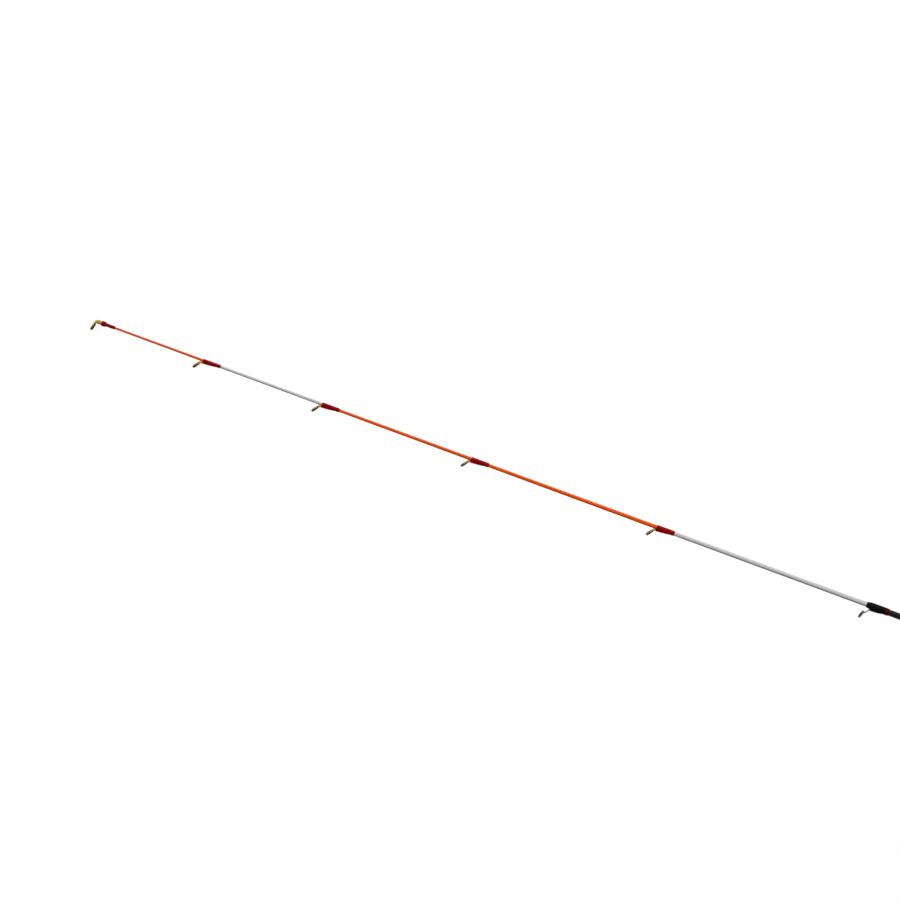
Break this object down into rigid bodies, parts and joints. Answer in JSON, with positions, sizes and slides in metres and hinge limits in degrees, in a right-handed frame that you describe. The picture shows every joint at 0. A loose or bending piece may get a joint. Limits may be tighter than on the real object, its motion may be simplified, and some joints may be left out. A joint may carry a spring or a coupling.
{
  "type": "two-piece squid jig fishing rod",
  "caption": "Slim two-piece boat rod for squid jigs: painted solid tip, small ring guides, put-over joint, screw reel seat, foam grips and a folding hook keeper.",
  "frame": {"origin": "centre of the butt cap's flat end face, on the rod's axis", "axes": "+X along the rod towards the tip, -Z the side of the guides and of the reel, +Y completes a right-handed frame"},
  "size_m": [1.83, 0.025, 0.0449],
  "materials": {
    "carbon": "clear-coated carbon fibre",
    "white_paint": "glass fibre under gloss paint in orange and white bands",
    "red_thread": "dark red thread under clear epoxy",
    "black_thread": "black thread under clear epoxy",
    "gold_metal": "polished gold-coloured frame metal",
    "steel_frame": "dark polished stainless steel",
    "gold_ceramic": "polished gold-coloured ceramic",
    "dark_ceramic": "polished dark grey ceramic",
    "grip_foam": "matt black foam",
    "cap_rubber": "matt black rubber",
    "dark_aluminium": "dark anodised",
    "seat_plastic": "black, satin",
    "cushion_plastic": "black, matt"
  },
  "bodies": {
    "butt_section": {"butt_blank": "carbon", "butt_cap": "cap_rubber", "fixed_hood": "dark_aluminium", "fixed_hood_cushion": "cushion_plastic", "keeper_base": "dark_aluminium", "keeper_front_wrap": "black_thread", "keeper_pin": "steel_frame", "keeper_rear_wrap": "black_thread", "mid_grip": "grip_foam", "mid_grip_ring": "dark_aluminium", "rear_grip": "grip_foam", "rear_grip_ring": "dark_aluminium", "reel_seat_body": "seat_plastic", "seat_front_arbor": "cushion_plastic", "seat_rear_arbor": "cushion_plastic", "stripper_frame": "steel_frame", "stripper_front_trim": "red_thread", "stripper_front_wrap": "black_thread", "stripper_rear_trim": "red_thread", "stripper_rear_wrap": "black_thread", "stripper_ring": "dark_ceramic", "winding_check": "dark_aluminium"},
    "moving_hood": {"moving_hood": "dark_aluminium", "moving_hood_cushion": "cushion_plastic"},
    "lock_nut": {"lock_nut": "seat_plastic", "nut_ring": "dark_aluminium", "foregrip": "grip_foam"},
    "keeper_bail": {"keeper_bail": "steel_frame"},
    "tip_section": {"ferrule_trim": "red_thread", "ferrule_wrap": "black_thread", "guide_1_frame": "gold_metal", "guide_1_ring": "gold_ceramic", "guide_1_wrap": "red_thread", "guide_2_frame": "gold_metal", "guide_2_ring": "gold_ceramic", "guide_2_wrap": "red_thread", "guide_3_frame": "gold_metal", "guide_3_ring": "gold_ceramic", "guide_3_wrap": "red_thread", "guide_4_frame": "gold_metal", "guide_4_ring": "gold_ceramic", "guide_4_wrap": "red_thread", "guide_5_frame": "steel_frame", "guide_5_ring": "dark_ceramic", "guide_5_trim": "red_thread", "guide_5_wrap": "black_thread", "guide_6_frame": "steel_frame", "guide_6_ring": "dark_ceramic", "guide_6_trim": "red_thread", "guide_6_wrap": "black_thread", "guide_7_frame": "steel_frame", "guide_7_ring": "dark_ceramic", "guide_7_trim": "red_thread", "guide_7_wrap": "black_thread", "solid_tip": "white_paint", "tip_top_frame": "gold_metal", "tip_top_ring": "gold_ceramic", "tip_top_wrap": "red_thread", "tip_tube": "carbon"}
  },
  "joints": [
    {"name": "tip_section_slide", "type": "slide", "parent": "butt_section", "child": "tip_section", "axis": [1, 0, 0], "range_m": [0, 0.065]},
    {"name": "moving_hood_slide", "type": "slide", "parent": "butt_section", "child": "moving_hood", "axis": [-1, 0, 0], "range_m": [0, 0.015]},
    {"name": "lock_nut_turn", "type": "hinge", "parent": "moving_hood", "child": "lock_nut", "pos_m": [0.3856, 0, 0], "axis": [-1, 0, 0], "range_deg": [0, 2160]},
    {"name": "keeper_bail_fold", "type": "hinge", "parent": "butt_section", "child": "keeper_bail", "pos_m": [0.4733, 0, -0.00604], "axis": [0, 1, 0], "range_deg": [0, 90]}
  ],
  "couplings": [
    {"joint": "moving_hood_slide", "follows": "lock_nut_turn", "m_per_rad": 0.00039788}
  ]
}
